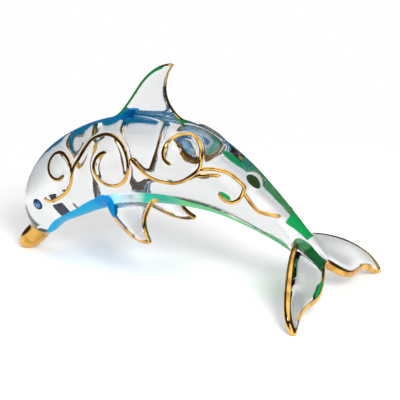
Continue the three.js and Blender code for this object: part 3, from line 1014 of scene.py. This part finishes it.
class FIGURINE_OT_eyes(bpy.types.Operator):
    """Cuts the two eye crystals and sets them in their sockets"""
    bl_idname = "figurine.eyes"
    bl_label = "Crystal Eyes"

    def execute(self, context):
        crystal = crystal_finish(context.scene.figurine_colours)
        left = self.cut_crystal(Figure(context.scene.figurine_sizes))
        for name, node, surface in (("crystal_left", "eye_left", left),
                                    ("crystal_right", "eye_right", other_side(left))):
            piece = mesh_object(name, crystal, *surface, smooth=False)
            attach(piece, "root")
            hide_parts(node)
        return {"FINISHED"}

    def cut_crystal(self, figure):
        """Brilliant cut: eight-sided rings, every second one turned by half a side more, and each
        quad between two rings split along its shorter diagonal into two facets."""
        sizes, sides = figure.sizes, 8
        radius, crown, pavilion = sizes.eye_diameter / 2, sizes.eye_crown, sizes.eye_pavilion
        profile = (
            (0.45 * radius, -0.55 * pavilion, 0),
            (radius, -0.02 * radius, 0.5),
            (0.97 * radius, 0.12 * crown, 0),
            (0.8 * radius, 0.6 * crown, 0.5),
            (0.52 * radius, crown, 0),
        )
        points, quads, fans = turned(profile, sides, -pavilion, crown, figure.eye_frame())
        a, b, c, d = quads.T
        turned_back = (np.arange(len(quads)) // sides % 2 == 1)[:, None]
        first = np.where(turned_back, np.stack([a, b, c], 1), np.stack([a, b, d], 1))
        second = np.where(turned_back, np.stack([a, c, d], 1), np.stack([b, c, d], 1))
        return points, quads[:0], np.vstack([first, second, fans])


class FIGURINE_OT_stage(bpy.types.Operator):
    """Sets the pale floor, the soft studio light and the camera"""
    bl_idname = "figurine.stage"
    bl_label = "Studio"

    def execute(self, context):
        self.floor()
        self.lights()
        self.surroundings(context.scene)
        self.camera(context.scene)
        context.scene.view_settings.view_transform = "Standard"
        return {"FINISHED"}

    def floor(self):
        """Pale light table, lit a little from below, that fades out round the figurine."""
        material, nodes, shader = finish(
            "pale_floor", {"Specular IOR Level": 0.0, "Roughness": 0.9, "Emission Strength": 0.14})
        pale = nodes.mix(nodes.noise(3), (0.88, 0.88, 0.885, 1), (0.9, 0.9, 0.905, 1))
        place = nodes.node("ShaderNodeTexCoord", output="Object")
        away = nodes.node("ShaderNodeVectorMath", {"operation": "LENGTH"}, {0: place}, "Value")
        nodes.feed(shader, {"Base Color": pale, "Emission Color": pale,
                            "Alpha": nodes.ramp(away, FLOOR_FADE)})
        z = -0.02 * MM
        corners = np.array([(-1, -1, z), (1, -1, z), (1, 1, z), (-1, 1, z)])
        floor = mesh_object("floor", material, corners, np.array([[0, 1, 2, 3]]))

    def lights(self):
        """Soft key light from the upper right and a weak light from the camera's side."""
        for name, round_by, elevation, distance, size, power, shown in LIGHTS:
            offset = direction(CAMERA_AZIMUTH + round_by, elevation) * distance
            light = bpy.data.lights.new(name, "AREA")
            light.energy = power
            light.size = size
            lamp = bpy.data.objects.new(name, light)
            lamp.location = Vector(CAMERA_TARGET) + offset
            lamp.rotation_euler = (-offset).to_track_quat("-Z", "Y").to_euler()
            lamp.visible_glossy = lamp.visible_transmission = shown
            bpy.context.scene.collection.objects.link(lamp)

    def surroundings(self, scene):
        """White backdrop seen only through the glass, a small bright one behind the camera and a
        white ceiling, with dark cards between them that give the glass its dark edge lines. The
        picture's own background stays white."""
        world = bpy.data.worlds.new("studio")
        world.use_nodes = True
        scene.world = world
        nodes = Nodes(world.node_tree)
        background = world.node_tree.nodes["Background"]
        way = nodes.node("ShaderNodeTexCoord", output="Generated")
        ahead = tuple(-direction(CAMERA_AZIMUTH, CAMERA_ELEVATION))
        facing = nodes.dot(way, ahead) * 0.5 + 0.5
        reflected = nodes.node("ShaderNodeLightPath", output="Is Reflection Ray")
        backdrop = nodes.ramp(facing, BACKDROP) * (1 - reflected)
        ceiling = nodes.ramp(nodes.dot(way, (0.0, 0.0, 1.0)), CEILING)
        seen = nodes.node("ShaderNodeLightPath", output="Is Camera Ray")
        lit = nodes.ramp(facing, BEHIND_CAMERA) + backdrop + ceiling
        level = seen + (1 - seen) * lit
        nodes.feed(background, {"Color": (1.0, 1.0, 1.0, 1), "Strength": level})

    def camera(self, scene):
        """Camera of the photograph, turned to its axes and moved back from its target."""
        data = bpy.data.cameras.new("camera")
        data.lens = LENS
        data.sensor_width = SENSOR
        camera = bpy.data.objects.new("camera", data)
        back = direction(CAMERA_AZIMUTH, CAMERA_ELEVATION)
        right = direction(CAMERA_AZIMUTH + 90, 0)
        up = back.cross(right)
        turn = Matrix((right, up, back)).transposed().to_4x4()
        place = Vector(CAMERA_TARGET) + back * CAMERA_DISTANCE
        camera.matrix_world = Matrix.Translation(place) @ turn
        scene.collection.objects.link(camera)
        scene.camera = camera


def direction(azimuth, elevation):
    """Direction from the figurine: degrees round from the left side towards the tail, and up."""
    a, e = math.radians(azimuth), math.radians(elevation)
    return Vector((math.sin(a) * math.cos(e), -math.cos(a) * math.cos(e), math.sin(e)))


class FIGURINE_PT_panel(bpy.types.Panel):
    """Sizes, colours and pieces of the figurine"""
    bl_label = "Glass Dolphin"
    bl_idname = "FIGURINE_PT_panel"
    bl_space_type = "VIEW_3D"
    bl_region_type = "UI"
    bl_category = "Figurine"

    def draw(self, context):
        for group in (context.scene.figurine_sizes, context.scene.figurine_colours):
            box = self.layout.box()
            for name in group.__annotations__:
                box.prop(group, name)
        for operator in OPERATORS:
            self.layout.operator(operator.bl_idname)


OPERATORS = (
    FIGURINE_OT_glass, FIGURINE_OT_gold_lines, FIGURINE_OT_eyes, FIGURINE_OT_stage,
)
CLASSES = (FigurineSizes, FigurineColours, *OPERATORS, FIGURINE_PT_panel)


def register():
    for cls in CLASSES:
        bpy.utils.register_class(cls)
    bpy.types.Scene.figurine_sizes = PointerProperty(type=FigurineSizes)
    bpy.types.Scene.figurine_colours = PointerProperty(type=FigurineColours)


def unregister():
    del bpy.types.Scene.figurine_colours
    del bpy.types.Scene.figurine_sizes
    for cls in reversed(CLASSES):
        bpy.utils.unregister_class(cls)


def main():
    register()
    bpy.ops.figurine.glass()
    bpy.ops.figurine.gold_lines()
    bpy.ops.figurine.eyes()
    bpy.ops.figurine.stage()


if __name__ == "__main__":
    main()
